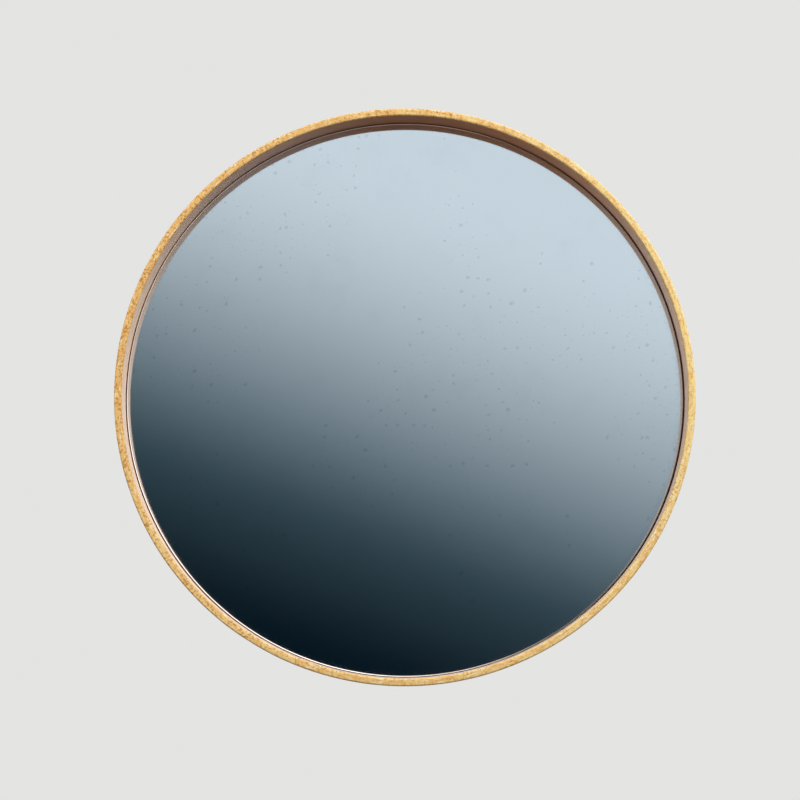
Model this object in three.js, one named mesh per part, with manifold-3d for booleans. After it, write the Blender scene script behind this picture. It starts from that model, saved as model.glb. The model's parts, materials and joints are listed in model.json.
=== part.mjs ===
// A round convex wall mirror set deep in a gilded hoop, hung on two D-rings.
// Millimetres. X runs to the viewer's right, Y back to the wall and Z up. The
// origin is on the mirror's axis, in the plane of the wall.
import * as THREE from "three";
import { mergeVertices } from "three/addons/utils/BufferGeometryUtils.js";
import Module from "manifold-3d";

const wasm = await Module();
wasm.setup();

// Hoop
const HOOP_RADIUS = 300;
const HOOP_WALL = 8;
const HOOP_FRONT_ROUND = 1.7;
const HOOP_REAR_CHAMFER = 1;
const WALL_STANDOFF = 3;

// Glass
const GLASS_THICKNESS = 4;
const GLASS_RISE = 3;
const GLASS_RECESS = 31;
const GLASS_GAP = 1.3;
const GLASS_ARRIS = 0.8;

// Tape between the glass and the ledge ring
const TAPE_COUNT = 6;
const TAPE_THICKNESS = 1;
const TAPE_WIDTH = 12;
const TAPE_INSET = 5;
const TAPE_SHARE = 0.75;

// Setting blocks under the glass's edge
const BLOCK_LENGTH = 20;
const BLOCK_ANGLE = 20;
const BLOCK_SETBACK = 3;

// Ledge ring and backboard
const LEDGE_WIDTH = 50;
const LEDGE_THICKNESS = 9;
const BOARD_THICKNESS = 4;
const BOARD_RECESS = 4;
const BOARD_GAP = 1;

// Countersunk screws
const SCREW_COUNT = 8;
const SCREW_SHANK_RADIUS = 1.75;
const SCREW_HEAD_RADIUS = 3.4;
const SCREW_HEAD_RIM = 0.3;
const SCREW_POINT = 3;
const SCREW_TIP_COVER = 1.2;
const SCREW_SINK = 0.15;
const CROSS_LENGTH = 3.8;
const CROSS_WIDTH = 0.9;
const CROSS_DEPTH = 1.3;

// Strap hangers
const HOOK_SPACING = 300;
const STRAP_WIDTH = 15.5;
const STRAP_THICKNESS = 1.5;
const STRAP_END = 7;
const STRAP_SCREW_PITCH = 15;
const STRAP_FIRST_SCREW = 10;
const EYE_WIDTH = 12;
const EYE_CLEARANCE = 0.4;
const EYE_END_ANGLE = -50;

// D-rings
const RING_WIRE_RADIUS = 1.5;
const RING_SIDE_CLEARANCE = 0.75;
const RING_CORNER_RADIUS = 3;
const RING_LEG = 5;
const RING_BUTT_GAP = 0.3;
const RING_HOOP_CLEARANCE = 3;

// Wall bumpers, at angles from +X in the mirror's plane
const BUMPER_RADIUS = 10;
const BUMPER_CHAMFER = 1;
const BUMPER_ANGLES = [0, 180, 240, 300];

// Clearances and smoothness
const SEAT_GAP = 0.3;
const HOLE_CLEARANCE = 0.3;
const OVERCUT = 1;
const FACETS = 128;
const SMALL_FACETS = 24;
const GLASS_RINGS = 5;
const RING_STEPS = 44;
const WIRE_SIDES = 8;

// Levels along Y, from the wall forwards
const boardBack = -WALL_STANDOFF - BOARD_RECESS;
const boardFront = boardBack - BOARD_THICKNESS;
const ledgeFront = boardFront - LEDGE_THICKNESS;
const glassRimBack = ledgeFront - TAPE_THICKNESS;
const glassRimFront = glassRimBack - GLASS_THICKNESS;
const hoopFront = glassRimFront - GLASS_RECESS;
const hoopBack = -WALL_STANDOFF;

// Radii
const hoopInner = HOOP_RADIUS - HOOP_WALL;
const glassRadius = hoopInner - GLASS_GAP;
const ledgeOuter = hoopInner - SEAT_GAP;
const ledgeInner = ledgeOuter - LEDGE_WIDTH;
const ledgeMiddle = ledgeOuter - LEDGE_WIDTH / 2;
const boardRadius = hoopInner - BOARD_GAP;

// Hanger: the strap is rolled into an eye, and the ring's bar turns in it
const eyeInner = RING_WIRE_RADIUS + EYE_CLEARANCE;
const eyeOuter = eyeInner + STRAP_THICKNESS;
const eyeLevel = boardBack + eyeOuter;
const ringHalfWidth = STRAP_WIDTH / 2 + RING_SIDE_CLEARANCE + RING_WIRE_RADIUS;
const ringReach = hoopInner - RING_HOOP_CLEARANCE - ringHalfWidth - RING_WIRE_RADIUS;
const eyeHeight = Math.sqrt(ringReach ** 2 - (HOOK_SPACING / 2) ** 2) - RING_LEG;
const screwLength = BOARD_THICKNESS + LEDGE_THICKNESS - SCREW_TIP_COVER;

const FINISHES = {
  gilt: { color: "#dcb67c", roughness: 0.4, metalness: 0.9 },
  silvered: { color: "#9fb2bd", roughness: 0.06, metalness: 1 },
  foam: { color: "#e9e9e4", roughness: 0.9, metalness: 0 },
  cork: { color: "#b98f62", roughness: 0.9, metalness: 0 },
  plywood: { color: "#c9a878", roughness: 0.75, metalness: 0 },
  fibreboard: { color: "#8b6a4a", roughness: 0.85, metalness: 0 },
  zinc: { color: "#b9bcc0", roughness: 0.35, metalness: 1 },
  brassed: { color: "#c9a24f", roughness: 0.35, metalness: 1 },
  rubber: { color: "#2b2b2c", roughness: 0.85, metalness: 0 },
};

const wallMirror = new THREE.Group();

function add(name, geometry, finish) {
  const mesh = new THREE.Mesh(geometry, new THREE.MeshStandardMaterial(FINISHES[finish]));
  mesh.name = name;
  wallMirror.add(mesh);
  return mesh;
}

function radians(degrees) {
  return THREE.MathUtils.degToRad(degrees);
}

// Turns an outline of [radius, level] points about Y. It runs anticlockwise.
function lathe(outline, facets) {
  return new THREE.LatheGeometry(outline.map(([r, y]) => new THREE.Vector2(r, y)), facets);
}

// A ring of rectangular section between two radii and two levels.
function latheRing(inner, outer, front, back, facets) {
  return lathe([[inner, back], [inner, front], [outer, front], [outer, back], [inner, back]], facets);
}

// Extrudes a shape drawn in X and Z forwards from a level.
function plate(shape, back, thickness, curveSegments) {
  const geometry = new THREE.ExtrudeGeometry(shape, { depth: thickness, bevelEnabled: false, curveSegments });
  return geometry.rotateX(Math.PI / 2).translate(0, back, 0);
}

// Extrudes a shape drawn in Y and Z sideways, centred on X.
function sidePlate(shape, width, curveSegments) {
  const geometry = new THREE.ExtrudeGeometry(shape, { depth: width, bevelEnabled: false, curveSegments });
  const turned = new THREE.Matrix4().makeBasis(
    new THREE.Vector3(0, 1, 0),
    new THREE.Vector3(0, 0, 1),
    new THREE.Vector3(1, 0, 0),
  );
  return geometry.translate(0, 0, -width / 2).applyMatrix4(turned);
}

function toSolid(geometry) {
  const bare = geometry.clone();
  bare.deleteAttribute("normal");
  bare.deleteAttribute("uv");
  const merged = mergeVertices(bare);
  const triangles = [];
  for (let i = 0; i < merged.index.count; i += 3) {
    const corners = [0, 1, 2].map((step) => merged.index.getX(i + step));
    if (new Set(corners).size === 3) triangles.push(...corners);
  }
  const mesh = new wasm.Mesh({
    numProp: 3,
    vertProperties: merged.attributes.position.array,
    triVerts: new Uint32Array(triangles),
  });
  return new wasm.Manifold(mesh);
}

function fromSolid(solid) {
  const mesh = solid.getMesh();
  const geometry = new THREE.BufferGeometry();
  geometry.setAttribute("position", new THREE.BufferAttribute(mesh.vertProperties, 3));
  geometry.setIndex(new THREE.BufferAttribute(mesh.triVerts, 1));
  return geometry;
}

function cut(geometry, cutters) {
  return fromSolid(cutters.reduce((left, cutter) => left.subtract(toSolid(cutter)), toSolid(geometry)));
}

function join(first, second) {
  return fromSolid(toSolid(first).add(toSolid(second)));
}

function hoopGeometry() {
  const round = HOOP_FRONT_ROUND;
  const chamfer = HOOP_REAR_CHAMFER;
  const section = new THREE.Path();
  section.moveTo(hoopInner, hoopBack - chamfer);
  section.lineTo(hoopInner, hoopFront + round);
  section.absarc(hoopInner + round, hoopFront + round, round, Math.PI, 1.5 * Math.PI, false);
  section.lineTo(HOOP_RADIUS - round, hoopFront);
  section.absarc(HOOP_RADIUS - round, hoopFront + round, round, 1.5 * Math.PI, 2 * Math.PI, false);
  section.lineTo(HOOP_RADIUS, hoopBack - chamfer);
  section.lineTo(HOOP_RADIUS - chamfer, hoopBack);
  section.lineTo(hoopInner + chamfer, hoopBack);
  section.lineTo(hoopInner, hoopBack - chamfer);
  return new THREE.LatheGeometry(section.getPoints(2), FACETS);
}

// How far the dome stands in front of its rim, at a radius.
function domeAt(radius) {
  const sphere = (glassRadius ** 2 + GLASS_RISE ** 2) / (2 * GLASS_RISE);
  return Math.sqrt(sphere ** 2 - radius ** 2) - (sphere - GLASS_RISE);
}

function glassGeometry() {
  const faceRadius = glassRadius - GLASS_ARRIS;
  const radii = Array.from({ length: GLASS_RINGS + 1 }, (_, i) => (faceRadius * i) / GLASS_RINGS);
  const front = radii.map((r) => [r, glassRimFront - domeAt(r)]);
  const back = radii.map((r) => [r, glassRimBack - domeAt(r)]).reverse();
  const edge = [[glassRadius, glassRimFront + GLASS_ARRIS], [glassRadius, glassRimBack - GLASS_ARRIS]];
  return lathe([...front, ...edge, ...back], FACETS);
}

// A flat strip along an arc, drawn in X and Z about the mirror's axis.
function arcStrip(inner, outer, from, to) {
  const shape = new THREE.Shape();
  shape.absarc(0, 0, outer, from, to, false);
  shape.absarc(0, 0, inner, to, from, true);
  shape.closePath();
  return shape;
}

function tapeGeometry(index) {
  const pitch = (2 * Math.PI) / TAPE_COUNT;
  const middle = pitch * (index + 0.5);
  const half = (pitch * TAPE_SHARE) / 2;
  const outer = glassRadius - TAPE_INSET;
  const strip = arcStrip(outer - TAPE_WIDTH, outer, middle - half, middle + half);
  return plate(strip, ledgeFront, TAPE_THICKNESS - SEAT_GAP, 8);
}

function settingBlockGeometry(side) {
  const middle = -Math.PI / 2 + side * radians(BLOCK_ANGLE);
  const half = BLOCK_LENGTH / hoopInner / 2;
  const strip = arcStrip(glassRadius + SEAT_GAP, hoopInner - SEAT_GAP, middle - half, middle + half);
  return plate(strip, ledgeFront, TAPE_THICKNESS + GLASS_THICKNESS - BLOCK_SETBACK, 4);
}

// A countersunk screw pointing forwards, its head's top at level 0. The hole
// for it is the same outline, grown by a clearance.
function screwOutline(clearance, top) {
  const shank = SCREW_SHANK_RADIUS + clearance;
  const head = SCREW_HEAD_RADIUS + clearance;
  return [
    [0, -screwLength - clearance],
    [shank, SCREW_POINT - screwLength],
    [shank, -SCREW_HEAD_RIM - (head - shank)],
    [head, -SCREW_HEAD_RIM],
    [head, top],
    [0, top],
  ];
}

function screwGeometry() {
  const slot = new THREE.BoxGeometry(CROSS_LENGTH, 2 * CROSS_DEPTH, CROSS_WIDTH);
  const across = new THREE.BoxGeometry(CROSS_WIDTH, 2 * CROSS_DEPTH, CROSS_LENGTH);
  return cut(lathe(screwOutline(0, 0), SMALL_FACETS), [slot, across]);
}

function screwHole({ x, y, z }) {
  return lathe(screwOutline(HOLE_CLEARANCE, OVERCUT), SMALL_FACETS).translate(x, y, z);
}

function boardScrewPlaces() {
  return Array.from({ length: SCREW_COUNT }, (_, i) => {
    const angle = ((i + 0.5) * 2 * Math.PI) / SCREW_COUNT;
    const level = boardBack - SCREW_SINK;
    return new THREE.Vector3(ledgeMiddle * Math.cos(angle), level, ledgeMiddle * Math.sin(angle));
  });
}

function strapScrewPlaces(side) {
  return [0, 1].map((row) => {
    const height = eyeHeight - STRAP_FIRST_SCREW - row * STRAP_SCREW_PITCH;
    return new THREE.Vector3((side * HOOK_SPACING) / 2, boardBack + STRAP_THICKNESS - SCREW_SINK, height);
  });
}

function strapGeometry(side) {
  const x = (side * HOOK_SPACING) / 2;
  const length = STRAP_FIRST_SCREW + STRAP_SCREW_PITCH + STRAP_END;
  const shoulder = -eyeOuter - SEAT_GAP;
  const blade = new THREE.Shape();
  blade.moveTo(-STRAP_WIDTH / 2, shoulder);
  blade.lineTo(-STRAP_WIDTH / 2, STRAP_WIDTH / 2 - length);
  blade.absarc(0, STRAP_WIDTH / 2 - length, STRAP_WIDTH / 2, Math.PI, 2 * Math.PI, false);
  blade.lineTo(STRAP_WIDTH / 2, shoulder);
  blade.closePath();

  const end = radians(EYE_END_ANGLE);
  const roll = new THREE.Shape();
  roll.moveTo(-eyeOuter, 2 * shoulder);
  roll.lineTo(-eyeOuter, 0);
  roll.absarc(0, 0, eyeOuter, Math.PI, end, true);
  roll.absarc(0, 0, eyeInner, end, Math.PI, false);
  roll.lineTo(-eyeInner, 2 * shoulder);
  roll.closePath();

  const bladeSolid = plate(blade, boardBack + STRAP_THICKNESS, STRAP_THICKNESS, SMALL_FACETS / 2);
  const eyeSolid = sidePlate(roll, EYE_WIDTH, SMALL_FACETS / 2).translate(0, eyeLevel, 0);
  const whole = join(bladeSolid, eyeSolid).translate(x, 0, eyeHeight);
  return cut(whole, strapScrewPlaces(side).map(screwHole));
}

// The ring's wire: from the middle of its bar round the D and back, hanging down.
class RingPath extends THREE.Curve {
  constructor() {
    super();
    const corner = RING_CORNER_RADIUS;
    const half = ringHalfWidth;
    const straight = new THREE.Path();
    straight.moveTo(RING_BUTT_GAP / 2, 0);
    straight.lineTo(half - corner, 0);
    straight.absarc(half - corner, -corner, corner, Math.PI / 2, 0, true);
    straight.lineTo(half, -RING_LEG);
    straight.absarc(0, -RING_LEG, half, 0, -Math.PI, true);
    straight.lineTo(-half, -corner);
    straight.absarc(corner - half, -corner, corner, Math.PI, Math.PI / 2, true);
    straight.lineTo(-RING_BUTT_GAP / 2, 0);
    this.flat = straight;
  }

  getPoint(t, target = new THREE.Vector3()) {
    const point = this.flat.getPointAt(t);
    return target.set(point.x, 0, point.y);
  }
}

function ringGeometry() {
  const wire = new THREE.Shape();
  wire.absarc(0, 0, RING_WIRE_RADIUS, 0, 2 * Math.PI, false);
  return new THREE.ExtrudeGeometry(wire, {
    steps: RING_STEPS,
    curveSegments: WIRE_SIDES / 2,
    extrudePath: new RingPath(),
  });
}

function bumperGeometry() {
  const outline = [
    [0, boardBack],
    [BUMPER_RADIUS, boardBack],
    [BUMPER_RADIUS, -BUMPER_CHAMFER],
    [BUMPER_RADIUS - BUMPER_CHAMFER, 0],
    [0, 0],
  ];
  return lathe(outline, SMALL_FACETS);
}

const sides = { left: -1, right: 1 };
const boardHoles = boardScrewPlaces().map(screwHole);
const strapHoles = Object.values(sides).flatMap(strapScrewPlaces).map(screwHole);
const screwHoles = [...boardHoles, ...strapHoles];

add("frame_hoop", hoopGeometry(), "gilt");
add("mirror_glass", glassGeometry(), "silvered");

for (let i = 0; i < TAPE_COUNT; i += 1) {
  add(`glass_tape_${i + 1}`, tapeGeometry(i), "foam");
}

const ledge = latheRing(ledgeInner, ledgeOuter, ledgeFront, boardFront, FACETS);
add("ledge_ring", cut(ledge, screwHoles), "plywood");

const board = lathe([[0, boardFront], [boardRadius, boardFront], [boardRadius, boardBack], [0, boardBack]], FACETS);
add("backboard", cut(board, screwHoles), "fibreboard");

boardScrewPlaces().forEach((place, i) => {
  add(`backboard_screw_${i + 1}`, screwGeometry(), "zinc").position.copy(place);
});

for (const [word, side] of Object.entries(sides)) {
  add(`setting_block_${word}`, settingBlockGeometry(side), "cork");
  add(`strap_hanger_${word}`, strapGeometry(side), "brassed");
  add(`d_ring_${word}`, ringGeometry(), "brassed").position.set((side * HOOK_SPACING) / 2, eyeLevel, eyeHeight);
  strapScrewPlaces(side).forEach((place, i) => {
    add(`hanger_screw_${word}_${i + 1}`, screwGeometry(), "zinc").position.copy(place);
  });
}

BUMPER_ANGLES.forEach((degrees, i) => {
  const bumper = add(`wall_bumper_${i + 1}`, bumperGeometry(), "rubber");
  bumper.position.set(ledgeMiddle * Math.cos(radians(degrees)), 0, ledgeMiddle * Math.sin(radians(degrees)));
});

export default wallMirror;
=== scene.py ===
"""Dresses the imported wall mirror: gilded hoop, foxed convex glass, closed back and its hangers."""

import json
import math

import bmesh
import bpy
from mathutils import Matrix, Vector


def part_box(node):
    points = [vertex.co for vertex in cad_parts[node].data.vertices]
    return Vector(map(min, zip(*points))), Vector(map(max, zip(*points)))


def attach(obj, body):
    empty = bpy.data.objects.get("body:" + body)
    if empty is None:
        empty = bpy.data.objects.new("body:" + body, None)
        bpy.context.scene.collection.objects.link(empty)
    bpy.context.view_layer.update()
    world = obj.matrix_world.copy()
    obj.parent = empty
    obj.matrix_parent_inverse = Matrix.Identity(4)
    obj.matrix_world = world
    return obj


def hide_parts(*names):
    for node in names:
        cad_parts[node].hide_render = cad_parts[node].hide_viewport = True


bl_info = {
    "name": "Gilded hoop mirror",
    "version": (1, 0, 0),
    "blender": (4, 5, 0),
    "location": "3D View > Sidebar > Hoop mirror",
    "description": "Models and finishes a round convex mirror in a deep gilded hoop",
    "category": "Add Mesh",
}

MM = 0.001
TURN = 2 * math.pi
NEAR = 0.05 * MM
WELD = 0.001 * MM
SHARP = math.radians(30)
ROUNDED = math.radians(40)
PLY = 1.5 * MM

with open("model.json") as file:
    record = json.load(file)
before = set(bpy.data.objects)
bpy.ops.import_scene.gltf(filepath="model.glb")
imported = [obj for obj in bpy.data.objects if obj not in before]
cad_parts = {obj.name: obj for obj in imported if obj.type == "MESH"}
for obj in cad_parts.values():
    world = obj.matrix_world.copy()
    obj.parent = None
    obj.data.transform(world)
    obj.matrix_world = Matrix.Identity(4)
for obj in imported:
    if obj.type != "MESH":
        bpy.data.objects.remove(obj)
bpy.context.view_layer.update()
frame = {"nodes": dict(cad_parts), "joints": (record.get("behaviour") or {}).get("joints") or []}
HOOP_LOW, HOOP_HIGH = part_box("frame_hoop")
GLASS_LOW, GLASS_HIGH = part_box("mirror_glass")
RING_LOW, RING_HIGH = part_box("d_ring_left")
HOOP_RADIUS = HOOP_HIGH.x
HOOP_FRONT = HOOP_LOW.y
HOOP_BACK = HOOP_HIGH.y
GLASS_RADIUS = GLASS_HIGH.x
PIVOTS = {joint["child"]: joint["pos_m"] for joint in frame["joints"]}


def srgb(red, green, blue):
    """A colour written as it looks, 0 to 255, in the linear numbers that a shader takes."""
    levels = (value / 255 for value in (red, green, blue))
    return tuple(v / 12.92 if v <= 0.04045 else ((v + 0.055) / 1.055) ** 2.4 for v in levels)


# ---------------------------------------------------------------- settings


def size(name, description, default):
    return bpy.props.FloatProperty(
        name=name, description=description, default=default, unit="LENGTH", precision=5
    )


def shade(name, description, default):
    return bpy.props.FloatVectorProperty(
        name=name, description=description, default=default, subtype="COLOR", size=3
    )


def power(name, description, default):
    return bpy.props.FloatProperty(name=name, description=description, default=default, unit="POWER")


class HoopSettings(bpy.types.PropertyGroup):
    """The gilded hoop."""

    wall: size("Wall", "Width of the hoop's front band", 7.75 * MM)
    front_round: size("Front arris", "Radius of the two front arrises", 1.7 * MM)
    rear_chamfer: size("Rear chamfer", "Chamfer of the two rear arrises", 1.0 * MM)
    waviness: size("Waviness", "How far the hand-rubbed gesso strays from true", 0.3 * MM)
    leaf_length: size("Leaf", "Length of one sheet of leaf round the hoop", 78 * MM)
    leaf_light: shade("Leaf, light", "Bright patches of the leaf", srgb(255, 232, 164))
    leaf_deep: shade("Leaf, deep", "Deeper patches of the leaf", srgb(240, 189, 113))
    speck: shade("Specks", "Small brown-orange specks in the leaf", srgb(180, 112, 44))
    ground: shade("Ground", "Red-brown ground where the leaf is rubbed away", srgb(122, 70, 38))
    inner: shade("Inner wall", "Duller metal of the inner wall", srgb(250, 226, 206))


class GlassSettings(bpy.types.PropertyGroup):
    """The convex glass."""

    thickness: size("Thickness", "Thickness of the bent glass", 4.0 * MM)
    rise: size("Rise", "Height of the dome over its rim", 3.0 * MM)
    arris: size("Arris", "Width of the seamed edge", 0.8 * MM)
    tint: shade("Silvering", "Tint of the old silvering", srgb(240, 243, 246))
    foxing: shade("Foxing", "Silvering that has tarnished in spots", srgb(128, 146, 158))
    ground_edge: shade("Edge", "Ground edge of the glass", srgb(240, 238, 234))


class HangerSettings(bpy.types.PropertyGroup):
    """The D-rings and the fittings of the back."""

    corner: size("Corner", "Bend radius where the ring's bar turns", 3.0 * MM)
    butt: size("Butt", "Gap between the two ends of the ring's wire", 0.3 * MM)
    brass: shade("Brass", "Brass plating", srgb(214, 174, 96))
    zinc: shade("Zinc", "Zinc plating", srgb(196, 199, 203))
    board: shade("Fibreboard", "Bare face of the backboard", srgb(148, 112, 78))


class StudioSettings(bpy.types.PropertyGroup):
    """The floor, the lamps and the room that the glass reflects."""

    floor: shade("Floor", "Pale floor", srgb(196, 195, 192))
    air: shade("Background", "Pale background that the camera sees", srgb(228, 228, 226))
    key_power: power("Key", "Power of the key lamp", 112)
    fill_power: power("Fill", "Power of the fill lamp", 40)
    back_power: power("Back lamp", "Power of the lamp behind the mirror", 75)
    lens: bpy.props.FloatProperty(
        name="Lens", description="Focal length in mm", default=100, subtype="DISTANCE_CAMERA"
    )


class MirrorSettings(bpy.types.PropertyGroup):
    """All the settings, by what they belong to."""

    hoop: bpy.props.PointerProperty(name="Hoop", description="The gilded hoop", type=HoopSettings)
    glass: bpy.props.PointerProperty(name="Glass", description="The convex glass", type=GlassSettings)
    hangers: bpy.props.PointerProperty(name="Back", description="The back's fittings", type=HangerSettings)
    studio: bpy.props.PointerProperty(name="Studio", description="The stage", type=StudioSettings)


# ---------------------------------------------------------------- shaders


class Value:
    """A shader socket. Arithmetic on one that carries a number adds Math nodes."""

    def __init__(self, shader, socket):
        self.shader = shader
        self.socket = socket

    def math(self, operation, *others):
        inputs = dict(enumerate((self, *others)))
        return self.shader.node("ShaderNodeMath", {"operation": operation}, inputs)

    def after(self, operation, first):
        return self.shader.node("ShaderNodeMath", {"operation": operation}, {0: first, 1: self})

    def __add__(self, other):
        return self.math("ADD", other)

    def __radd__(self, other):
        return self.after("ADD", other)

    def __sub__(self, other):
        return self.math("SUBTRACT", other)

    def __rsub__(self, other):
        return self.after("SUBTRACT", other)

    def __mul__(self, other):
        return self.math("MULTIPLY", other)

    def __rmul__(self, other):
        return self.after("MULTIPLY", other)

    def __truediv__(self, other):
        return self.math("DIVIDE", other)

    def __pow__(self, other):
        return self.math("POWER", other)

    def rise(self, low, high):
        """0 below low, 1 above high and smooth between."""
        settings = {"interpolation_type": "SMOOTHSTEP"}
        inputs = {"Value": self, "From Min": low, "From Max": high}
        return self.shader.node("ShaderNodeMapRange", settings, inputs)

    def fall(self, low, high):
        """1 below low, 0 above high and smooth between."""
        return 1 - self.rise(low, high)


class Shader:
    """The nodes of one material or of the world, and ways to add to them."""

    def __init__(self, owner):
        owner.use_nodes = True
        self.tree = owner.node_tree
        self.tree.nodes.clear()
        self.place = None

    def node(self, kind, settings=None, inputs=None, output=0):
        """Adds a node: its settings are made first, and then its sockets get values or links."""
        made = self.tree.nodes.new(kind)
        for name, value in (settings or {}).items():
            setattr(made, name, value)
        for name, value in (inputs or {}).items():
            socket = made.inputs[name]
            if isinstance(value, Value):
                self.tree.links.new(value.socket, socket)
            elif socket.type == "RGBA":
                socket.default_value = (*value, 1)
            else:
                socket.default_value = value
        return Value(self, made.outputs[output]) if made.outputs else None

    def axes(self, vector):
        return [self.node("ShaderNodeSeparateXYZ", None, {0: vector}, axis) for axis in range(3)]

    def vector(self, x, y, z=0.0):
        return self.node("ShaderNodeCombineXYZ", None, {0: x, 1: y, 2: z})

    def locate(self):
        """Reads the piece's Object coordinates in metres, and its radius and angle about Y."""
        self.place = self.node("ShaderNodeTexCoord", output="Object")
        self.x, self.level, self.z = self.axes(self.place)
        self.radius = (self.x * self.x + self.z * self.z) ** 0.5
        self.angle = self.z.math("ARCTAN2", self.x)

    def stretch(self, scale):
        """The piece's coordinates, made larger along some axes."""
        inputs = {"Vector": self.place, "Scale": scale}
        return self.node("ShaderNodeMapping", {"vector_type": "POINT"}, inputs)

    def noise(self, grain, detail=2.0, roughness=0.5, vector=None, distortion=0.0):
        """Soft noise, about 0.5 and mostly 0.25 to 0.75, whose blotches are about as wide as grain."""
        inputs = {"Vector": vector or self.place, "Scale": 1 / grain, "Detail": detail}
        inputs |= {"Roughness": roughness, "Distortion": distortion}
        return self.node("ShaderNodeTexNoise", {"noise_dimensions": "3D"}, inputs)

    def spots(self, vector, pitch, radius, share):
        """Round soft spots of uneven size in the plane of a vector, at most one to a cell."""
        settings = {"voronoi_dimensions": "2D", "feature": "F1"}
        inputs = {"Vector": vector, "Scale": 1 / pitch}
        distance = self.node("ShaderNodeTexVoronoi", settings, inputs, "Distance")
        chance, width, _ = self.axes(self.node("ShaderNodeTexVoronoi", settings, inputs, "Color"))
        reach = (0.3 + 0.7 * width * width) * (radius / pitch)
        return (distance / reach).fall(0.1, 1.0) * (share - chance).rise(0.0, 0.02)

    def towards(self, vector, direction):
        """How far a vector reaches in a direction."""
        settings = {"operation": "DOT_PRODUCT"}
        return self.node("ShaderNodeVectorMath", settings, {0: vector, 1: direction}, "Value")

    def mix(self, factor, first, second):
        settings = {"data_type": "RGBA", "clamp_factor": True}
        return self.node("ShaderNodeMix", settings, {0: factor, 6: first, 7: second}, 2)

    def bump(self, height, depth):
        """A bump that stands as high as depth where height is 1."""
        return self.node("ShaderNodeBump", None, {"Height": height, "Distance": depth})

    def surface(self, **inputs):
        """The finished surface, from a Principled shader's sockets."""
        titles = (name.replace("_", " ").title().replace("Ior", "IOR") for name in inputs)
        finished = self.node("ShaderNodeBsdfPrincipled", None, dict(zip(titles, inputs.values())))
        self.node("ShaderNodeOutputMaterial", None, {"Surface": finished})


def material(name):
    made = bpy.data.materials.new(name)
    shader = Shader(made)
    shader.locate()
    return made, shader


# ---------------------------------------------------------------- finishes


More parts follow.
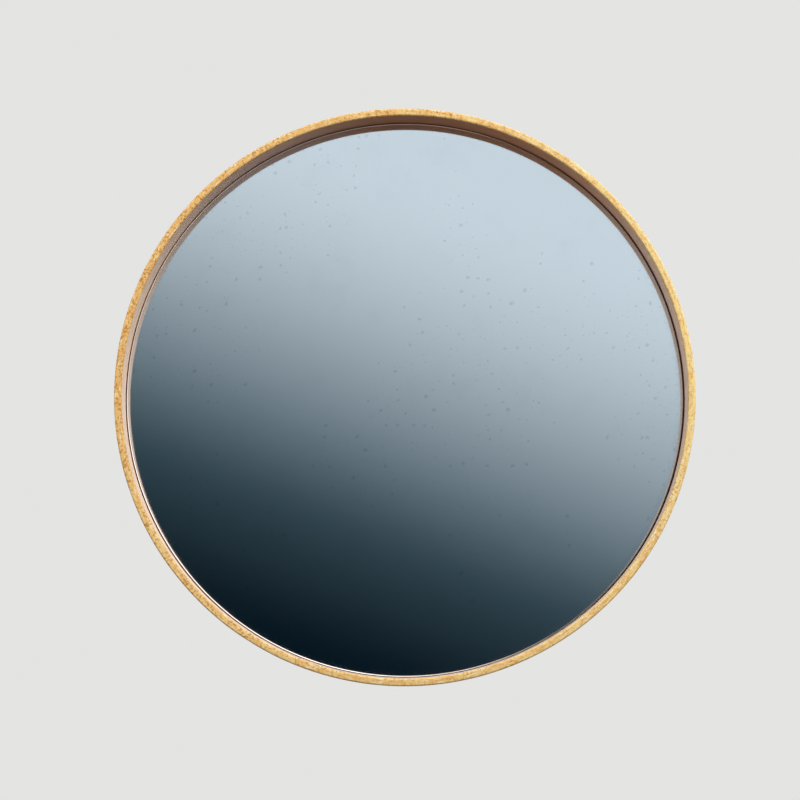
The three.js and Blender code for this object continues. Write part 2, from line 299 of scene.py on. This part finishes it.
def gilded_gesso(settings):
    """Leaf over a red-brown ground on the front and the outside, dull bronze paint inside,
    and bare ground behind."""
    made, shader = material("gilded gesso")
    light = tuple(settings.leaf_light)
    deep = tuple(settings.leaf_deep)
    speck = tuple(settings.speck)
    straying = (shader.noise(6 * MM) - 0.5) * (4 * MM)
    on_front = (shader.level + straying * 0.5).fall(HOOP_FRONT + 1.9 * MM, HOOP_FRONT + 2.5 * MM)
    out = shader.radius - HOOP_RADIUS
    on_outside = out.rise(-0.45 * settings.wall, -0.35 * settings.wall)
    leaf = on_front.math("MAXIMUM", on_outside)
    behind = (shader.level + straying * 0.4).rise(HOOP_BACK - 1.6 * MM, HOOP_BACK - 1.1 * MM)

    along = shader.vector(shader.angle * (HOOP_RADIUS * 0.22), shader.radius, shader.level)
    strokes = shader.noise(3 * MM, 3, 0.6, along).rise(0.43, 0.57)
    patches = shader.noise(4.5 * MM, 4, 0.7).rise(0.36, 0.64)
    worn = (shader.noise(42 * MM, 2) - shader.x * 0.6).rise(0.38, 0.66)
    flecks = shader.noise(2.3 * MM, 2, 0.6).rise(0.52, 0.6)
    flecks = flecks * (0.42 + 0.58 * worn) * (0.5 + 0.5 * on_front)
    grains = shader.noise(1.3 * MM, 2, 0.6).rise(0.56, 0.68)
    glints = shader.noise(2.4 * MM, 2, 0.6, along).rise(0.58, 0.68)

    sheets = round(TURN * HOOP_RADIUS / settings.leaf_length)
    sheet = shader.angle * (sheets / TURN) + (shader.noise(25 * MM) - 0.5) * 0.16
    lap = (sheet - sheet.math("FLOOR")) * settings.leaf_length
    lap_line = lap.fall(0.3 * MM, 0.8 * MM) * shader.noise(3 * MM).rise(0.35, 0.6)
    doubled = lap.rise(0.5 * MM, 1.0 * MM) * lap.fall(4 * MM, 6 * MM)

    front_arris = (shader.level - HOOP_FRONT).fall(0.6 * MM, 2.2 * MM)
    from_middle = (out + settings.wall / 2).math("ABSOLUTE")
    rim_arris = from_middle.rise(settings.wall / 2 - 1.5 * MM, settings.wall / 2 - 0.4 * MM)
    rubbed = front_arris * rim_arris * shader.noise(4 * MM, 4, 0.7).rise(0.54, 0.66)

    # Painted light and shade by place: the leaf is painted deeper towards the left, and its front is
    # painted paler on the right and at the lower left, with painted sparks on the right.
    right = (shader.x + shader.z * 0.27).rise(0.75 * HOOP_RADIUS, 0.97 * HOOP_RADIUS) * on_front
    painted_light_lower_left = (shader.x + shader.z).fall(-1.35 * HOOP_RADIUS, -HOOP_RADIUS) * on_front
    painted_light_share = (right * 0.3 + painted_light_lower_left * 0.45) * (0.4 + 0.6 * strokes)
    # Painted highlights: pale sparks on the right of the front only.
    painted_sparks_right = shader.noise(1.7 * MM, 2, 0.6, along).rise(0.48, 0.58) * right
    gold = shader.mix(patches * 0.4 + strokes * 0.6, deep, light)
    # Painted shade: the leaf is mixed deeper towards the left.
    gold = shader.mix(shader.x.fall(-HOOP_RADIUS, HOOP_RADIUS) * 0.75, gold, deep)
    gold = shader.mix(painted_light_share, gold, light)
    gold = shader.mix(doubled * 0.35, gold, light)
    gold = shader.mix(flecks * 0.7 + grains * 0.4, gold, speck)
    gold = shader.mix(glints * 0.8, gold, srgb(255, 242, 196))
    gold = shader.mix(painted_sparks_right * 0.75, gold, srgb(255, 230, 158))
    gold = shader.mix(lap_line * 0.6, gold, speck)
    gold = shader.mix(rubbed * 0.7, gold, tuple(settings.ground))

    smoky = shader.noise(14 * MM, 3, 0.6).rise(0.3, 0.7)
    brushed = shader.noise(1.6 * MM, 3, 0.65, along).rise(0.35, 0.65)
    bronze = shader.mix(smoky * 0.35, tuple(settings.inner), srgb(220, 194, 174))
    bronze = shader.mix(brushed * 0.35, bronze, srgb(196, 164, 142))
    # Painted shade: the top of the inner wall, which faces down, is painted browner and darker.
    painted_shade_top = shader.z.rise(0.35 * HOOP_RADIUS, 0.95 * HOOP_RADIUS)
    painted_shade_top = painted_shade_top * shader.x.rise(-0.6 * HOOP_RADIUS, 0)
    bronze = shader.mix(painted_shade_top * 0.78, bronze, srgb(210, 152, 104))

    colour = shader.mix(leaf, bronze, gold)
    colour = shader.mix(behind, colour, srgb(168, 118, 66))
    metal = leaf * (1 - rubbed * 0.8) * 0.34
    height = shader.noise(5 * MM, 2) + 0.25 * flecks + 0.3 * strokes + 0.5 * doubled
    shader.surface(
        base_color=colour,
        metallic=metal * (1 - behind),
        roughness=0.42 + 0.18 * flecks + 0.36 * (1 - leaf),
        specular_ior_level=0.3,
        normal=shader.bump(height, 0.06 * MM),
    )
    return made


def foxed_silvering(settings):
    """Old silvering with sparse spots, grey backing paint, and a seamed edge with painted shade on the
    right and a painted glow on its front arris."""
    made, shader = material("foxed silvering")
    ragged = (shader.noise(4 * MM, 3, 0.6) - 0.5) * (7 * MM)
    flat = shader.vector(shader.x + ragged, shader.z + ragged * 0.7)
    columns = shader.noise(80 * MM, 2, 0.5, shader.stretch((1, 1, 0.45)))
    spots = shader.spots(flat, 14 * MM, 3.2 * MM, columns.rise(0.42, 0.62) * 0.75)
    pepper = shader.spots(flat, 6 * MM, 1.5 * MM, columns.rise(0.4, 0.7) * 0.4)
    haze = shader.noise(45 * MM, 4, 0.6).rise(0.5, 0.8)
    rim = (shader.radius + ragged * 2.5).rise(GLASS_RADIUS - 9 * MM, GLASS_RADIUS - 2 * MM)
    silver = shader.mix(spots * 0.26 + pepper * 0.16, tuple(settings.tint), tuple(settings.foxing))
    silver = shader.mix(haze * 0.05 + rim * 0.12, silver, tuple(settings.foxing))

    fade = 0.1 * MM
    inside_arris = GLASS_RADIUS - settings.arris
    edge = shader.radius.rise(inside_arris - fade, inside_arris)
    middle = GLASS_LOW.y + (settings.rise + settings.thickness) / 2
    behind = shader.level.rise(middle - fade, middle + fade) * (1 - edge)
    bare = edge.math("MAXIMUM", behind)

    # Painted shade: the edge is painted darker and browner on the right. Painted glow: its front arris
    # gives off light, most of all at the lower left.
    right = shader.x.rise(0.1 * GLASS_RADIUS, 0.6 * GLASS_RADIUS)
    painted_light_lower_left = (shader.x + shader.z).fall(-1.3 * GLASS_RADIUS, -0.8 * GLASS_RADIUS)
    arris_back = GLASS_LOW.y + settings.rise + settings.arris
    on_arris = edge * shader.level.fall(arris_back, arris_back + fade)
    painted_glow = on_arris * (0.14 * (1 - right) + 0.86 * painted_light_lower_left)
    # The edge's own pale colour, with painted shade on the right.
    edge_with_painted_shade = shader.mix(right * 0.85, tuple(settings.ground_edge), srgb(84, 62, 48))
    colour = shader.mix(edge, silver, edge_with_painted_shade)
    colour = shader.mix(behind, colour, srgb(96, 98, 102))
    shader.surface(
        base_color=colour,
        metallic=1 - bare,
        roughness=0.05 + 0.02 * spots + 0.03 * rim + 0.45 * bare,
        # Painted glow on the front arris, most of all at the lower left.
        emission_color=shader.mix(painted_glow, (0, 0, 0), (0.7, 0.69, 0.7)),
        emission_strength=1.0,
        normal=shader.bump(shader.noise(60 * MM, 1), 0.02 * MM),
    )
    return made


def stained_ply(settings):
    """Birch plies seen on the edge, with a dark stain on the face that shows round the glass."""
    made, shader = material("stained birch ply")
    plies = (shader.level / PLY).math("PINGPONG", 1.0).rise(0.35, 0.65)
    grain = shader.noise(3 * MM, 4, 0.65, shader.stretch((0.12, 1, 1)))
    wood = shader.mix(grain.rise(0.35, 0.65), srgb(196, 160, 112), srgb(218, 188, 142))
    on_edge = (shader.radius - HOOP_RADIUS + settings.wall).math("ABSOLUTE").fall(0.5 * MM, 1.0 * MM)
    wood = shader.mix(plies * on_edge * 0.5, wood, srgb(160, 120, 78))
    ledge_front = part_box("ledge_ring")[0].y
    straying = (shader.noise(5 * MM) - 0.5) * MM
    stained = (shader.level + straying).fall(ledge_front + 0.6 * MM, ledge_front + 1.2 * MM)
    stain = shader.mix(grain.rise(0.4, 0.7), srgb(84, 54, 34), srgb(104, 68, 44))
    shader.surface(
        base_color=shader.mix(stained, wood, stain),
        roughness=0.62 + 0.15 * grain,
        normal=shader.bump(grain, 0.08 * MM),
    )
    return made


def fibreboard(settings):
    """Bare hard fibreboard: short pale and dark fibres, and faint handling marks."""
    made, shader = material("bare fibreboard")
    lying = shader.noise(0.7 * MM, 3, 0.7, shader.stretch((0.22, 1, 1)))
    standing = shader.noise(0.7 * MM, 3, 0.7, shader.stretch((1, 1, 0.22)))
    pressed = shader.noise(14 * MM, 5, 0.6)
    marks = shader.noise(90 * MM, 4, 0.55).rise(0.5, 0.75)
    dark = shader.mix(0.28, tuple(settings.board), srgb(70, 46, 28))
    pale = shader.mix(0.3, tuple(settings.board), srgb(214, 184, 144))
    board = shader.mix(pressed.rise(0.3, 0.7), dark, tuple(settings.board))
    board = shader.mix(lying.rise(0.56, 0.7) * 0.7, board, pale)
    board = shader.mix(standing.rise(0.58, 0.7) * 0.6, board, dark)
    board = shader.mix(marks * 0.22, board, dark)
    shader.surface(
        base_color=board,
        roughness=0.66 + 0.16 * pressed,
        normal=shader.bump(lying + standing, 0.05 * MM),
    )
    return made


def zinc_plate(settings):
    """Bright zinc: faint blue and straw colours, and a fine tumbled texture."""
    made, shader = material("bright zinc plate")
    clouds = shader.noise(4 * MM, 3, 0.6)
    tumbled = shader.noise(0.35 * MM, 2, 0.6)
    plate = shader.mix(clouds.rise(0.35, 0.65), tuple(settings.zinc), srgb(206, 202, 188))
    plate = shader.mix(clouds.rise(0.55, 0.75) * 0.5, plate, srgb(168, 178, 190))
    shader.surface(
        base_color=plate,
        metallic=1.0,
        roughness=0.3 + 0.25 * tumbled,
        normal=shader.bump(tumbled, 0.02 * MM),
    )
    return made


def worn_brass(settings):
    """Thin brass plating over steel, dulled in places, with the steel showing in small scuffs."""
    made, shader = material("worn brass plate")
    tarnish = shader.noise(5 * MM, 4, 0.62)
    drawn = shader.noise(0.4 * MM, 3, 0.7, shader.stretch((1, 1, 0.1)))
    scuffs = shader.noise(2.2 * MM, 4, 0.7).rise(0.62, 0.7)
    brass = shader.mix(tarnish.rise(0.4, 0.7) * 0.7, tuple(settings.brass), srgb(164, 120, 62))
    brass = shader.mix(drawn.rise(0.5, 0.7) * 0.25, brass, srgb(236, 204, 132))
    brass = shader.mix(scuffs * 0.6, brass, srgb(186, 184, 178))
    shader.surface(
        base_color=brass,
        metallic=1.0,
        roughness=0.28 + 0.28 * tarnish,
        normal=shader.bump(drawn + 0.5 * tarnish, 0.02 * MM),
    )
    return made


def matt_rubber():
    """Matt black rubber with a bloom of dust."""
    made, shader = material("matt black rubber")
    bloom = shader.noise(3 * MM, 4, 0.65)
    pores = shader.noise(0.5 * MM, 2, 0.6)
    shader.surface(
        base_color=shader.mix(bloom.rise(0.4, 0.75) * 0.6, srgb(38, 38, 39), srgb(78, 76, 73)),
        roughness=0.72 + 0.18 * bloom,
        normal=shader.bump(pores, 0.05 * MM),
    )
    return made


def closed_cell_foam():
    """Pale foam tape with small cells."""
    made, shader = material("closed-cell foam")
    cells = shader.noise(0.6 * MM, 2, 0.6)
    shader.surface(
        base_color=shader.mix(cells.rise(0.4, 0.65), srgb(236, 236, 230), srgb(208, 208, 202)),
        roughness=0.85 + 0.1 * cells,
        normal=shader.bump(cells, 0.12 * MM),
    )
    return made


def pressed_cork():
    """Cork granules pressed together."""
    made, shader = material("pressed cork")
    granules = shader.noise(1.6 * MM, 3, 0.6, None, 0.6)
    pits = shader.noise(0.5 * MM, 2, 0.6).rise(0.6, 0.7)
    cork = shader.mix(granules.rise(0.35, 0.65), srgb(168, 122, 78), srgb(206, 166, 116))
    shader.surface(
        base_color=shader.mix(pits * 0.7, cork, srgb(92, 60, 34)),
        roughness=0.8 + 0.12 * granules,
        normal=shader.bump(granules - 0.6 * pits, 0.15 * MM),
    )
    return made


# ---------------------------------------------------------------- modelling


def start_fresh():
    """Deselects everything, because an operator acts on all that is selected."""
    bpy.ops.object.select_all(action="DESELECT")


def name_new(name):
    """Names the object that was just added and puts its place in its mesh."""
    piece = bpy.context.object
    piece.name = name
    piece.data.name = name
    bpy.ops.object.transform_apply(location=True, rotation=True, scale=True)
    return piece


def edit():
    bpy.ops.object.mode_set(mode="EDIT")


def leave():
    bpy.ops.object.mode_set(mode="OBJECT")


def pick_edges(piece, test):
    """Selects the edges whose two ends pass a test, and nothing else."""
    bpy.ops.mesh.select_mode(type="EDGE")
    bpy.ops.mesh.select_all(action="DESELECT")
    mesh = bmesh.from_edit_mesh(piece.data)
    for edge in mesh.edges:
        edge.select_set(test(edge.verts[0].co, edge.verts[1].co))
    bmesh.update_edit_mesh(piece.data)


def add_and_apply(piece, kind, **settings):
    """Adds a modifier and applies it."""
    modifier = piece.modifiers.new(kind.title(), kind)
    for name, value in settings.items():
        setattr(modifier, name, value)
    bpy.ops.object.modifier_apply(modifier=modifier.name)


def round_about_axis(point):
    return math.hypot(point.x, point.z)


def hand_it_over(piece, finish, slot, body, *nodes):
    """Gives a piece its finish and body, and lets it stand for its CAD nodes. The slot is not used."""
    piece.data.materials.clear()
    piece.data.materials.append(finish)
    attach(piece, body)
    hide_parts(*nodes)


def finish_nodes(finish, *names):
    """Smooths CAD nodes across their facets and gives them a finish."""
    for name in names:
        node = frame["nodes"][name]
        node.data.attributes.remove(node.data.attributes["custom_normal"])
        node.data.polygons.foreach_set("use_smooth", [True] * len(node.data.polygons))
        weld = node.modifiers.new("Weld", "WELD")
        weld.merge_threshold = WELD
        split = node.modifiers.new("Sharp edges", "EDGE_SPLIT")
        split.split_angle = SHARP
        for place in node.material_slots:
            place.material = finish


class HOOPMIRROR_OT_hoop(bpy.types.Operator):
    """Model the gilded hoop and lay its leaf"""

    bl_idname = "hoop_mirror.hoop"
    bl_label = "Gilded hoop"

    sides = 384
    rows = 10
    front_steps = 4
    rear_steps = 1
    wave = 40 * MM

    def execute(self, context):
        settings = context.scene.hoop_mirror.hoop
        start_fresh()
        bpy.ops.mesh.primitive_cylinder_add(
            vertices=self.sides,
            radius=HOOP_RADIUS,
            depth=HOOP_BACK - HOOP_FRONT,
            end_fill_type="NOTHING",
            location=(0, (HOOP_BACK + HOOP_FRONT) / 2, 0),
            rotation=(math.pi / 2, 0, 0),
        )
        hoop = name_new("gilded_hoop")
        edit()
        pick_edges(hoop, lambda a, b: abs(a.y - b.y) > NEAR)
        bpy.ops.mesh.subdivide(number_cuts=self.rows)
        leave()
        add_and_apply(hoop, "SOLIDIFY", thickness=settings.wall, offset=-1, use_even_offset=True)
        self.bevel_arrises(hoop, HOOP_FRONT, settings.front_round, self.front_steps)
        self.bevel_arrises(hoop, HOOP_BACK, settings.rear_chamfer, self.rear_steps)
        self.rub_down(hoop, settings)
        bpy.ops.object.shade_smooth_by_angle(angle=ROUNDED)
        add_and_apply(hoop, "WEIGHTED_NORMAL", keep_sharp=True)
        hand_it_over(hoop, gilded_gesso(settings), "gilt", "mirror", "frame_hoop")
        return {"FINISHED"}

    def bevel_arrises(self, hoop, level, width, segments):
        """Bevels the two round edges at one level."""
        edit()
        pick_edges(
            hoop,
            lambda a, b: max(abs(a.y - level), abs(b.y - level)) < NEAR
            and abs(round_about_axis(a) - round_about_axis(b)) < NEAR,
        )
        bpy.ops.mesh.bevel(offset=width, segments=segments, affect="EDGES")
        leave()

    def rub_down(self, hoop, settings):
        """Lets the faces stray a little from true, as gesso does that is rubbed down by hand."""
        clouds = bpy.data.textures.new("hand-rubbed gesso", "CLOUDS")
        clouds.noise_scale = self.wave
        clouds.noise_depth = 2
        add_and_apply(
            hoop,
            "DISPLACE",
            texture=clouds,
            texture_coords="LOCAL",
            strength=settings.waviness,
            mid_level=0.5,
        )


class HOOPMIRROR_OT_glass(bpy.types.Operator):
    """Model the convex glass and silver it"""

    bl_idname = "hoop_mirror.glass"
    bl_label = "Convex glass"

    sides = 256
    rings = 24

    def execute(self, context):
        settings = context.scene.hoop_mirror.glass
        outline = self.outline(settings)
        start_fresh()
        radius, level = outline[0]
        bpy.ops.mesh.primitive_circle_add(
            vertices=self.sides,
            radius=radius,
            fill_type="TRIFAN",
            location=(0, level, 0),
            rotation=(math.pi / 2, 0, 0),
        )
        glass = name_new("silvered_glass")
        edit()
        pick_edges(glass, lambda a, b: min(round_about_axis(a), round_about_axis(b)) > radius - NEAR)
        for (inner, before), (outer, after) in zip(outline, outline[1:]):
            growth = outer / inner
            bpy.ops.mesh.extrude_edges_move(TRANSFORM_OT_translate={"value": (0, after - before, 0)})
            bpy.ops.transform.resize(value=(growth, 1, growth), center_override=(0, 0, 0))
        bpy.ops.mesh.extrude_edges_move(TRANSFORM_OT_translate={"value": (0, 0, 0)})
        bpy.ops.mesh.merge(type="CENTER")
        bpy.ops.mesh.select_all(action="SELECT")
        bpy.ops.mesh.normals_make_consistent(inside=False)
        leave()
        bpy.ops.object.shade_smooth_by_angle(angle=SHARP)
        hand_it_over(glass, foxed_silvering(settings), "silvered_glass", "mirror", "mirror_glass")
        return {"FINISHED"}

    def outline(self, settings):
        """Radius and level of each ring, from the middle of the face over the rim to the middle
        of the back."""
        rim = GLASS_RADIUS
        sphere = (rim**2 + settings.rise**2) / (2 * settings.rise)
        face = rim - settings.arris
        radii = [face * (i + 1) / self.rings for i in range(self.rings)]
        front = [(r, GLASS_LOW.y + sphere - math.sqrt(sphere**2 - r**2)) for r in radii]
        back = [(r, level + settings.thickness) for r, level in reversed(front)]
        edge = [(rim, front[-1][1] + settings.arris), (rim, back[0][1] - settings.arris)]
        return front + edge + back


class HOOPMIRROR_OT_d_rings(bpy.types.Operator):
    """Bend the two D-rings from round wire"""

    bl_idname = "hoop_mirror.d_rings"
    bl_label = "D-rings"

    wire_sides = 20
    corner_steps = 8
    bow_steps = 32

    def execute(self, context):
        settings = context.scene.hoop_mirror.hangers
        finish = worn_brass(settings)
        left_pivot = Vector(PIVOTS["d_ring_left"])
        right_pivot = Vector(PIVOTS["d_ring_right"])
        left = self.bend_wire(settings, left_pivot)
        start_fresh()
        left.select_set(True)
        bpy.ops.object.duplicate(linked=False)
        bpy.ops.transform.translate(value=right_pivot - left_pivot)
        right = name_new("wire_ring_right")
        hand_it_over(left, finish, "brassed_steel", "d_ring_left", "d_ring_left")
        hand_it_over(right, finish, "brassed_steel", "d_ring_right", "d_ring_right")
        return {"FINISHED"}

    def bend_wire(self, settings, pivot):
        """Extrudes and spins a disc along the D, from one end of the wire to the other."""
        wire = (RING_HIGH.y - RING_LOW.y) / 2
        half = (RING_HIGH.x - RING_LOW.x) / 2 - wire
        leg = RING_HIGH.z - RING_LOW.z - 2 * wire - half
        corner = settings.corner
        bar = half - corner - settings.butt / 2
        start_fresh()
        bpy.ops.mesh.primitive_circle_add(
            vertices=self.wire_sides,
            radius=wire,
            fill_type="NGON",
            location=pivot + Vector((settings.butt / 2, 0, 0)),
            rotation=(0, math.pi / 2, 0),
        )
        ring = name_new("wire_ring_left")
        edit()
        self.push(bar, 0)
        self.turn(pivot, half - corner, -corner, 90, self.corner_steps)
        self.push(0, corner - leg)
        self.turn(pivot, 0, -leg, 180, self.bow_steps)
        self.push(0, leg - corner)
        self.turn(pivot, corner - half, -corner, 90, self.corner_steps)
        self.push(bar, 0)
        bpy.ops.mesh.select_all(action="SELECT")
        bpy.ops.mesh.remove_doubles(threshold=NEAR / 10)
        bpy.ops.mesh.normals_make_consistent(inside=False)
        leave()
        bpy.ops.object.shade_smooth_by_angle(angle=ROUNDED)
        return ring

    def push(self, x, z):
        bpy.ops.mesh.extrude_region_move(TRANSFORM_OT_translate={"value": (x, 0, z)})

    def turn(self, pivot, x, z, degrees, steps):
        centre = pivot + Vector((x, 0, z))
        bpy.ops.mesh.spin(steps=steps, angle=math.radians(-degrees), center=centre, axis=(0, 1, 0))


class HOOPMIRROR_OT_back(bpy.types.Operator):
    """Finish the backboard, ledge, tape, blocks, fittings and bumpers"""

    bl_idname = "hoop_mirror.back"
    bl_label = "Back and fittings"

    def execute(self, context):
        settings = context.scene.hoop_mirror
        hangers = settings.hangers
        names = sorted(frame["nodes"])

        def starting(*words):
            return [name for name in names if name.startswith(words)]

        finish_nodes(fibreboard(hangers), "backboard")
        finish_nodes(stained_ply(settings.hoop), "ledge_ring")
        finish_nodes(zinc_plate(hangers), *starting("backboard_screw", "hanger_screw"))
        finish_nodes(bpy.data.materials["worn brass plate"], *starting("strap_hanger"))
        finish_nodes(matt_rubber(), *starting("wall_bumper"))
        finish_nodes(closed_cell_foam(), *starting("glass_tape"))
        finish_nodes(pressed_cork(), *starting("setting_block"))
        return {"FINISHED"}


# ---------------------------------------------------------------- stage


def facing(place, target):
    """The turn that makes a lamp or camera at one place look at another."""
    return (Vector(target) - Vector(place)).to_track_quat("-Z", "Y").to_euler()


class HOOPMIRROR_OT_studio(bpy.types.Operator):
    """Set up the pale floor, the soft light, the room that the glass reflects and the camera"""

    bl_idname = "hoop_mirror.studio"
    bl_label = "Studio"

    floor_level = -1.05
    floor_radius = 7.0
    floor_mottle = srgb(184, 182, 178)
    sensor_width = 36
    forwards = (0, -1, 0)
    brighter = (0.358, 0.0, 0.934)
    camera_place = (0.017, -2.3304, -0.270)
    camera_aim = (-0.0047, -0.056, -0.0074)
    room_foot = srgb(4, 20, 30)
    room_dusk = srgb(66, 88, 98)
    room_top = srgb(210, 222, 230)

    def execute(self, context):
        settings = context.scene.hoop_mirror.studio
        self.lay_floor(settings)
        self.hang_lamp("key lamp", (1.7, -2.1, 2.3), 2.0, settings.key_power, (1.0, 0.95, 0.88))
        self.hang_lamp("fill lamp", (-2.4, -2.2, 0.6), 2.4, settings.fill_power, (1.0, 0.97, 0.93))
        self.hang_lamp("back lamp", (-1.6, 3.0, 1.6), 2.4, settings.back_power, (1.0, 0.97, 0.93))
        self.light_room(context, settings)
        self.place_camera(context, settings)
        context.scene.view_settings.view_transform = "Standard"
        return {"FINISHED"}

    def lay_floor(self, settings):
        """A pale disc that fades into the background with distance."""
        start_fresh()
        bpy.ops.mesh.primitive_circle_add(
            vertices=96, radius=self.floor_radius, fill_type="NGON", location=(0, 0, self.floor_level)
        )
        floor = name_new("floor")
        made = bpy.data.materials.new("pale floor")
        shader = Shader(made)
        shader.locate()
        x, y, _ = shader.axes(shader.place)
        away = (x * x + y * y) ** 0.5
        mottled = shader.noise(0.4, 3).rise(0.3, 0.7) * 0.06
        paint = shader.mix(mottled, tuple(settings.floor), self.floor_mottle)
        shader.surface(
            base_color=paint,
            roughness=0.8,
            specular_ior_level=0.2,
            alpha=away.fall(self.floor_radius * 0.35, self.floor_radius * 0.95),
        )
        floor.data.materials.append(made)
        floor.visible_diffuse = False
        floor.visible_glossy = False

    def hang_lamp(self, name, place, width, watts, tone):
        lamp = bpy.data.lights.new(name, "AREA")
        lamp.shape = "DISK"
        lamp.size = width
        lamp.energy = watts
        lamp.color = tone
        hung = bpy.data.objects.new(name, lamp)
        bpy.context.collection.objects.link(hung)
        hung.location = place
        hung.visible_glossy = False
        hung.rotation_euler = facing(place, self.camera_aim)

    def light_room(self, context, settings):
        """The room's light is dim and warm from below and pale from above. Where it is reflected the
        room is blue-grey, and straight in front of the mirror it goes from dark to pale. The camera
        sees a pale background."""
        world = bpy.data.worlds.new("studio")
        context.scene.world = world
        shader = Shader(world)
        way = shader.node("ShaderNodeTexCoord", output="Generated")
        height = shader.towards(way, self.brighter)
        ahead = shader.towards(way, self.forwards)
        screen = shader.mix(height.rise(-0.065, 0.09), self.room_foot, self.room_dusk)
        screen = shader.mix(height.rise(0.01, 0.235), screen, self.room_top)

        ambient = shader.mix(height.rise(-0.3, 0.15), srgb(92, 46, 24), srgb(214, 219, 223))
        ambient = shader.mix(height.rise(0.35, 0.85), ambient, (0.85, 0.84, 0.82))
        reflected = shader.mix(height.rise(-0.7, 0.4), srgb(84, 98, 107), srgb(208, 217, 224))
        reflected = shader.mix(ahead.rise(0.86, 0.975), reflected, screen)

        glossy_ray = shader.node("ShaderNodeLightPath", output="Is Glossy Ray")
        camera_ray = shader.node("ShaderNodeLightPath", output="Is Camera Ray")
        colour = shader.mix(glossy_ray, ambient, reflected)
        colour = shader.mix(camera_ray, colour, tuple(settings.air))
        light = shader.node("ShaderNodeBackground", None, {"Color": colour, "Strength": 1.0})
        shader.node("ShaderNodeOutputWorld", None, {"Surface": light})

    def place_camera(self, context, settings):
        camera = bpy.data.cameras.new("camera")
        camera.lens = settings.lens
        camera.sensor_width = self.sensor_width
        held = bpy.data.objects.new("camera", camera)
        context.collection.objects.link(held)
        held.location = self.camera_place
        held.rotation_euler = facing(held.location, self.camera_aim)
        context.scene.camera = held


# ---------------------------------------------------------------- panel


OPERATORS = (
    HOOPMIRROR_OT_hoop,
    HOOPMIRROR_OT_glass,
    HOOPMIRROR_OT_d_rings,
    HOOPMIRROR_OT_back,
    HOOPMIRROR_OT_studio,
)
GROUPS = (HoopSettings, GlassSettings, HangerSettings, StudioSettings, MirrorSettings)


class HOOPMIRROR_PT_panel(bpy.types.Panel):
    """Lists the pieces and their settings"""

    bl_idname = "HOOPMIRROR_PT_panel"
    bl_label = "Hoop mirror"
    bl_space_type = "VIEW_3D"
    bl_region_type = "UI"
    bl_category = "Hoop mirror"

    def draw(self, context):
        settings = context.scene.hoop_mirror
        for operator in OPERATORS:
            self.layout.operator(operator.bl_idname)
        for name in ("hoop", "glass", "hangers", "studio"):
            group = getattr(settings, name)
            box = self.layout.box()
            for entry in group.__annotations__:
                box.prop(group, entry)


def register():
    for made in (*GROUPS, *OPERATORS, HOOPMIRROR_PT_panel):
        bpy.utils.register_class(made)
    bpy.types.Scene.hoop_mirror = bpy.props.PointerProperty(type=MirrorSettings)


def unregister():
    del bpy.types.Scene.hoop_mirror
    for made in reversed((*GROUPS, *OPERATORS, HOOPMIRROR_PT_panel)):
        bpy.utils.unregister_class(made)


def main():
    register()
    bpy.ops.hoop_mirror.hoop()
    bpy.ops.hoop_mirror.glass()
    bpy.ops.hoop_mirror.d_rings()
    bpy.ops.hoop_mirror.back()
    bpy.ops.hoop_mirror.studio()


if __name__ == "__main__":
    main()
